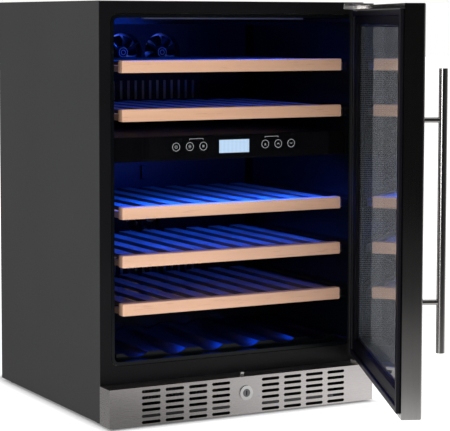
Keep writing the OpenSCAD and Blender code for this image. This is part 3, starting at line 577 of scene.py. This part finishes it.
# %% [markdown]
# ## Buttons
# Each round button is flush in the gloss fascia. What is seen of it is a thin printed ring
# and an icon: a power mark, a lamp, three bars, a ring over a bar, and an arrow up or down. The
# print glows, so its brightness is painted light. A ring or a bar is a flat strip a tenth of a
# millimetre thick, so it exists as geometry and rides on its own button. Brackets over two pairs
# and rings on the upper fans' hubs are made of the same strips, and stay with the cabinet.

# %% Button caps, rings and icons
INK = 0.12 * MM
OVERLAP = 1.04
RING, RING_LINE = 7.9 * MM, 0.6 * MM
BRACKET_LIFT, BRACKET_LEG, BRACKET_LINE = 4.5 * MM, 2.4 * MM, 0.5 * MM
HUB_RINGS, HUB_RING_LINE = (5.0 * MM, 10.0 * MM), 1.1 * MM


def ink_bar(shape, x, z, length, width, angle=0.0):
    verts = bmesh.ops.create_cube(shape, size=1.0)["verts"]
    bmesh.ops.scale(shape, verts=verts, vec=(length, INK, width))
    bmesh.ops.rotate(shape, verts=verts, cent=(0, 0, 0),
                     matrix=Matrix.Rotation(math.radians(angle), 3, "Y"))
    bmesh.ops.translate(shape, verts=verts, vec=(x, 0, z))


def ink_ring(shape, radius, width, start=0.0, sweep=360.0, steps=40):
    strip = bmesh.ops.create_cube(shape, size=1.0)["verts"]
    length = 2 * math.pi * radius * sweep / 360 / steps * OVERLAP
    bmesh.ops.scale(shape, verts=strip, vec=(width, INK, length))
    bmesh.ops.translate(shape, verts=strip, vec=(radius, 0, 0))
    links = {edge for vert in strip for edge in vert.link_edges}
    faces = {face for vert in strip for face in vert.link_faces}
    bmesh.ops.rotate(shape, verts=strip, cent=(0, 0, 0),
                     matrix=Matrix.Rotation(math.radians(start), 3, "Y"))
    bmesh.ops.spin(shape, geom=strip + list(links) + list(faces), cent=(0, 0, 0), axis=(0, 1, 0),
                   angle=math.radians(sweep) * (steps - 1) / steps, steps=steps - 1,
                   use_duplicate=True)


def icon(shape, kind):
    if kind == "power":
        ink_ring(shape, 2.6 * MM, 0.5 * MM, start=-60, sweep=300, steps=20)
        ink_bar(shape, 0, 2.2 * MM, 0.5 * MM, 2.6 * MM)
    elif kind == "lamp":
        ink_ring(shape, 1.5 * MM, 0.45 * MM, steps=14)
        for turn in range(0, 360, 45):
            ray = 2.9 * MM * Vector((math.cos(math.radians(turn)), math.sin(math.radians(turn))))
            ink_bar(shape, ray.x, ray.y, 1.1 * MM, 0.4 * MM, -turn)
    elif kind in ("up", "down"):
        lift = 1 if kind == "up" else -1
        ink_bar(shape, -1.25 * MM, 0, 3.6 * MM, 0.55 * MM, -45 * lift)
        ink_bar(shape, 1.25 * MM, 0, 3.6 * MM, 0.55 * MM, 45 * lift)
    elif kind == "zones":
        for level in (-1.7, 0.0, 1.7):
            ink_bar(shape, 0, level * MM, 4.6 * MM, 0.55 * MM)
    else:
        ink_ring(shape, 1.1 * MM, 0.45 * MM, steps=12)
        ink_bar(shape, 0, -2.2 * MM, 4.2 * MM, 0.5 * MM)


def print_on(shape, x, y, z, name, body, finish):
    """Lays flat marks, drawn round the origin, on a face at the given depth."""
    bmesh.ops.translate(shape, verts=shape.verts, vec=(x, y - INK / 2, z))
    piece(shape, name, body, finish)


ICONS = ["power", "lamp", "zones", "degree", "up", "down"]
for number, kind in enumerate(ICONS, 1):
    node = f"button_{number}"
    rounded(node, fascia_gloss, 0.35 * MM, 3)
    low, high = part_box(node)
    centre = (low + high) / 2
    shape = bmesh.new()
    ink_ring(shape, RING, RING_LINE)
    icon(shape, kind)
    print_on(shape, centre.x, low.y, centre.z, node + "_print", node, icon_ink_painted_glow)

shape = bmesh.new()
for pair in ((2, 3), (4, 5)):
    ends = [sum(corner.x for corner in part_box(f"button_{number}")) / 2 for number in pair]
    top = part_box(f"button_{pair[0]}")[1].z + BRACKET_LIFT
    ink_bar(shape, sum(ends) / 2, top, abs(ends[1] - ends[0]), BRACKET_LINE)
    for end in ends:
        ink_bar(shape, end, top - BRACKET_LEG / 2, BRACKET_LINE, BRACKET_LEG)
print_on(shape, 0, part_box("control_fascia")[0].y, 0, "control_fascia_print", "cabinet",
         icon_ink_painted_glow)

hub_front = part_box("fan_frames")[0].y
for number in (1, 2):
    centre = sum(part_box(f"fan_rotor_{number}"), Vector()) / 2
    shape = bmesh.new()
    for radius in HUB_RINGS:
        ink_ring(shape, radius, HUB_RING_LINE, steps=28)
    print_on(shape, centre.x, hub_front, centre.z, f"fan_{number}_hub_rings", "cabinet",
             rail_steel)
print("buttons", len(ICONS))

# %% [markdown]
# ## The door
# The door is a folded steel frame round a black glazed core. The frame's long outer edges are
# rolled to nearly four millimetres, and that curve is what draws the bright line down the open
# door. The seal is a soft bellows, so its CAD strip gets generous radii. The spacer between the
# panes keeps its CAD shape, and its breather holes come from the finish.

# %% Door pieces
hinge = Vector(joint_of["door_hinge"]["pos_m"])
open_angle = -math.radians(joint_of["door_hinge"]["range_deg"][0])
swing = Matrix.Rotation(open_angle, 4, "Z")
door_turn = Matrix.Translation(hinge) @ swing @ Matrix.Translation(-hinge)


def shut(point):
    """Where a point of the open door is when the door is shut."""
    return door_turn.inverted() @ point


shut_front = min(shut(vert.co).y for vert in nodes["door_frame"].data.vertices)
shut_edge = min(shut(vert.co).x for vert in nodes["door_frame"].data.vertices)
shut_low = min(shut(vert.co).z for vert in nodes["door_frame"].data.vertices)
shut_high = max(shut(vert.co).z for vert in nodes["door_frame"].data.vertices)
ROLL, LONG_EDGE, TOUCH = 3.6 * MM, 0.5, 0.1 * MM
UPRIGHT_INSIDE = 0.2535


def rolled(edge):
    """The frame's outermost edges along the front face."""
    ends = [shut(vert.co) for vert in edge.verts]
    if edge.calc_length() < LONG_EDGE or any(end.y > shut_front + TOUCH for end in ends):
        return False
    outer_side = all(abs(abs(end.x) - abs(shut_edge)) < 2 * TOUCH for end in ends)
    outer_end = any(all(abs(end.z - height) < TOUCH for end in ends)
                    for height in (shut_low, shut_high))
    return outer_side or outer_end


def door_steel(name):
    """Brushed upwards on the uprights and level on the cross rails."""
    finish = Finish(name, Metallic=1.0)
    turn = (0, 0, -open_angle)
    away = finish.place(turn=turn)
    middle = Matrix.Rotation(-open_angle, 4, "Z") @ (door_turn @ Vector((0, hinge.y, 0)))
    split = finish.node("ShaderNodeSeparateXYZ", None, {0: away})
    upright = (split - middle.x).math("ABSOLUTE").math("GREATER_THAN", UPRIGHT_INSIDE)
    lengthwise, level = [finish.place(drawn_out(ACROSS, ALONG, axis), turn) for axis in "ZX"]
    scratches = upright * finish.noise(lengthwise, 1.0, 4.0, 0.65) \
        + (1 - upright) * finish.noise(level, 1.0, 4.0, 0.65)
    return finish.surface(
        Base_Color=finish.mix(scratches, tint(0.54, 0.52, 0.51), tint(0.72, 0.70, 0.69)),
        Roughness=0.10 + 0.08 * scratches,
        Normal=finish.bump(scratches, 0.10, SCRATCH_HEIGHT))


shape = cad_shape("door_frame")
round_edges(shape, ROLL, 4, rolled)
piece(shape, "door_frame_look", "door", door_steel("brushed_steel_door"),
      ("door_frame",))
spacer = nodes["glass_spacer"].data.materials
spacer.clear()
spacer.append(perforated("perforated_spacer", (0, 0, -open_angle)))
DOOR = [
    ("door_core", black_moulding, 0.5, 2), ("door_gasket", seal_rubber, 2.0, 4),
    ("glass_outer", outer_glass, 0.3, 1), ("glass_inner", inner_glass, 0.3, 1),
    ("handle_bar", steel_along_z, 1.0, 3), ("handle_posts", steel_along_z, 0.3, 2),
]
for node, finish, radius, steps in DOOR:
    made = rounded(node, finish, radius * MM, steps)
    print(made.name, len(made.data.polygons), "faces")

# %% [markdown]
# ## Floor and cards
# A cabinet like this is shown on a white floor that runs into a white background. The floor is
# made twice: a sheet that the camera sees, and a sheet that only polished pieces mirror, with
# a pool of light before the cabinet that fades outwards. Steel also needs something dark to
# mirror, so a black card and a grey one, which the camera can't see, stand far in front.

# %% Floor and cards
FLOOR_REACH = 30
CARD_Y, CARD_TOP = -4.2, 6.0
CARD_LEFT, CARD_SPLIT, CARD_RIGHT = -3.6, -0.3, 6.0
UNDER_X, UNDER_Y, UNDER_BLUR = 0.28, 0.285, 0.04
POOL_EDGE, POOL_LEVEL, POOL_START, POOL_LENGTH = -0.75, 0.66, -0.3, 2.4


def sheet_of(name, corners, finish):
    shape = bmesh.new()
    shape.faces.new([shape.verts.new(corner) for corner in corners])
    mesh = bpy.data.meshes.new(name)
    shape.to_mesh(mesh)
    shape.free()
    made = bpy.data.objects.new(name, mesh)
    made.data.materials.append(finish)
    bpy.context.collection.objects.link(made)
    return made


def studio_floor(name):
    """A white floor that lights itself, as an overexposed one does, but not under the cabinet."""
    finish = Finish(name, Roughness=0.85, Emission_Strength=0.86)
    where = finish.place()
    x = finish.node("ShaderNodeSeparateXYZ", None, {0: where}).math("ABSOLUTE")
    y = finish.node("ShaderNodeSeparateXYZ", None, {0: where}, output=1).math("ABSOLUTE")
    away = ((x - UNDER_X) / UNDER_BLUR).math("MAXIMUM", (y - UNDER_Y) / UNDER_BLUR)
    away = away.math("MAXIMUM", 0.0).math("MINIMUM", 1.0)
    grain = finish.noise(where, 40.0, 2.0)
    return finish.surface(Base_Color=finish.mix(grain, grey(0.78), grey(0.82)),
                          Emission_Color=finish.mix(away, grey(0.0), grey(1.0)))


def reflected_floor(name):
    """What polished pieces see of the floor: a pool of light before the cabinet."""
    finish = Finish(name, Emission_Strength=1.0)
    where = finish.place()
    x = finish.node("ShaderNodeSeparateXYZ", None, {0: where})
    y = finish.node("ShaderNodeSeparateXYZ", None, {0: where}, output=1)
    across = (0.46 + 1.5 * x).math("MAXIMUM", 0.2).math("MINIMUM", 0.95)
    near = ((y - POOL_EDGE) * 8).math("MAXIMUM", 0.0).math("MINIMUM", 1.0)
    across = across * near + POOL_LEVEL * (1 - near)
    fade = finish.ramp((POOL_START - y) / POOL_LENGTH, (0.12, grey(1.0)), (0.30, grey(1.0)),
                       (0.50, grey(0.30)), (1.0, grey(0.02)))
    return finish.surface(Base_Color=finish.mix(across, grey(0.0), grey(0.02)),
                          Emission_Color=finish.mix(across * fade, grey(0.0), grey(1.0)))


def card_of(name, left, right, paint):
    """A matt card that stands on the floor far in front of the cabinet."""
    return sheet_of(name, [(left, CARD_Y, 0), (left, CARD_Y, CARD_TOP),
                           (right, CARD_Y, CARD_TOP), (right, CARD_Y, 0)], paint)


whole = [(x * FLOOR_REACH, y * FLOOR_REACH, 0) for x, y in ((-1, -1), (1, -1), (1, 1), (-1, 1))]
floor = sheet_of("floor", whole, studio_floor("studio_floor"))
mirror_floor = sheet_of("mirror_floor", whole, reflected_floor("reflected_floor"))
card_black = coated("black_card", (0.006, 0.006, 0.006), 0.9, Specular_IOR_Level=0.0)
card_grey = coated("grey_card", (0.045, 0.045, 0.045), 0.9, Specular_IOR_Level=0.0)
black_card = card_of("card", CARD_LEFT, CARD_SPLIT, card_black)
grey_card = card_of("grey_card", CARD_SPLIT, CARD_RIGHT, card_grey)
floor.visible_glossy = False
mirror_floor.visible_diffuse = mirror_floor.visible_transmission = False
mirror_floor.visible_shadow = False
for sheet in (mirror_floor, black_card, grey_card):
    sheet.visible_camera = False
print("sheets", 4)

# %% [markdown]
# ## Lights
# A tall lamp stands at the left, a low wide one lights the kickplate and the front boards, and
# a large one hangs overhead. The low lamp leaves out the floor, whose patch of light would show
# in the shut door's glass. Six blue lamps in the cavity do the work of the light strips. The
# background is brighter to the camera than to the surfaces that it lights.

# %% Lights
def area_light(name, place, aim, size, power, colour=(1, 1, 1)):
    lamp = bpy.data.lights.new(name, "AREA")
    lamp.shape, lamp.size, lamp.size_y = "RECTANGLE", size[0], size[1]
    lamp.energy, lamp.color = power, colour
    made = bpy.data.objects.new(name, lamp)
    made.location = place
    made.rotation_euler = (Vector(aim) - Vector(place)).to_track_quat("-Z", "Y").to_euler()
    bpy.context.collection.objects.link(made)
    return made


AMBIENT = 0.42
BLUE = (0.002, 0.065, 1.0)
BAR, PANEL = (0.40, 0.012), (0.46, 0.30)
BLUE_LAMPS = [
    ("blue_ceiling", (0, -0.207, 0.783), (0, -0.12, 0.5), BAR, 2.0),
    ("blue_divider", (0, -0.207, 0.505), (0, -0.12, 0.2), BAR, 4.8),
    ("blue_under_second", (0, -0.05, 0.672), (0, -0.05, 0.0), PANEL, 0.5),
    ("blue_under_third", (0, -0.05, 0.390), (0, -0.05, 0.0), PANEL, 1.6),
    ("blue_under_fourth", (0, -0.05, 0.296), (0, -0.05, 0.0), PANEL, 0.06),
    ("blue_under_fifth", (0, -0.10, 0.203), (0, -0.10, 0.0), (0.34, 0.03), 0.25),
]
key = area_light("key_strip", (-3.3, -2.3, 1.1), (0, -0.8, 0.5), (0.7, 2.2), 26)
front = area_light("front_soft", (-0.7, -3.7, 0.16), (0, -0.25, 0.40), (2.6, 0.30), 80)
over = area_light("overhead_soft", (0, -1.0, 4.5), (0, -1.0, 0), (6.0, 5.0), 60)
blues = [area_light(*lamp, BLUE) for lamp in BLUE_LAMPS]
panels = [lamp for lamp, row in zip(blues, BLUE_LAMPS) if row[3] == PANEL]
for lamp in [key, front, over] + blues:
    lamp.visible_camera = False
for lamp in [front, over] + panels:
    lamp.visible_glossy = lamp.visible_transmission = False
not_by_front = bpy.data.collections.new("not_lit_by_front")
not_by_front.objects.link(floor)
not_by_front.collection_objects[0].light_linking.link_state = "EXCLUDE"
front.light_linking.receiver_collection = not_by_front

world = bpy.data.worlds.new("studio")
bpy.context.scene.world = world
world.use_nodes = True
sky = world.node_tree.nodes["Background"]
sky.inputs["Color"].default_value = grey(1.0)
rays = world.node_tree.nodes.new("ShaderNodeLightPath")
level = world.node_tree.nodes.new("ShaderNodeMath")
level.operation = "MULTIPLY_ADD"
level.inputs[1].default_value, level.inputs[2].default_value = 1.0 - AMBIENT, AMBIENT
seen = world.node_tree.nodes.new("ShaderNodeMath")
seen.operation = "ADD"
for socket, kind in zip(seen.inputs, ("Is Camera Ray", "Is Transmission Ray")):
    world.node_tree.links.new(rays.outputs[kind], socket)
world.node_tree.links.new(seen.outputs[0], level.inputs[0])
world.node_tree.links.new(level.outputs[0], sky.inputs["Strength"])
bpy.context.scene.view_settings.view_transform = "Standard"
print("lamps", 3 + len(blues))

# %% [markdown]
# ## Camera
# The camera stands nearly four metres away, just below the height of the cabinet's top, with
# a long lens, and looks slightly down. The lens is shifted downwards as well, which takes in
# the floor while the uprights stay nearly parallel.

# %% Camera
LENS_MM = 144.704
SHIFT = -0.1
eye = Vector((-1.7177, -3.3991, 0.7811))
yaw, pitch, roll = math.radians(28.33), math.radians(-4.72), math.radians(0.12)
forward = Vector((math.sin(yaw) * math.cos(pitch), math.cos(yaw) * math.cos(pitch),
                  math.sin(pitch)))
right = Vector((math.cos(yaw), -math.sin(yaw), 0))
up = right.cross(forward)
right, up = (right * math.cos(roll) + up * math.sin(roll),
             up * math.cos(roll) - right * math.sin(roll))
lens = bpy.data.cameras.new("camera")
lens.sensor_width = 36.0
lens.lens = LENS_MM
lens.shift_y = SHIFT
camera = bpy.data.objects.new("camera", lens)
camera.matrix_world = Matrix.Translation(eye) @ Matrix((right, up, -forward)).transposed().to_4x4()
bpy.context.collection.objects.link(camera)
bpy.context.scene.camera = camera
print("camera lens", round(lens.lens, 1), "mm")
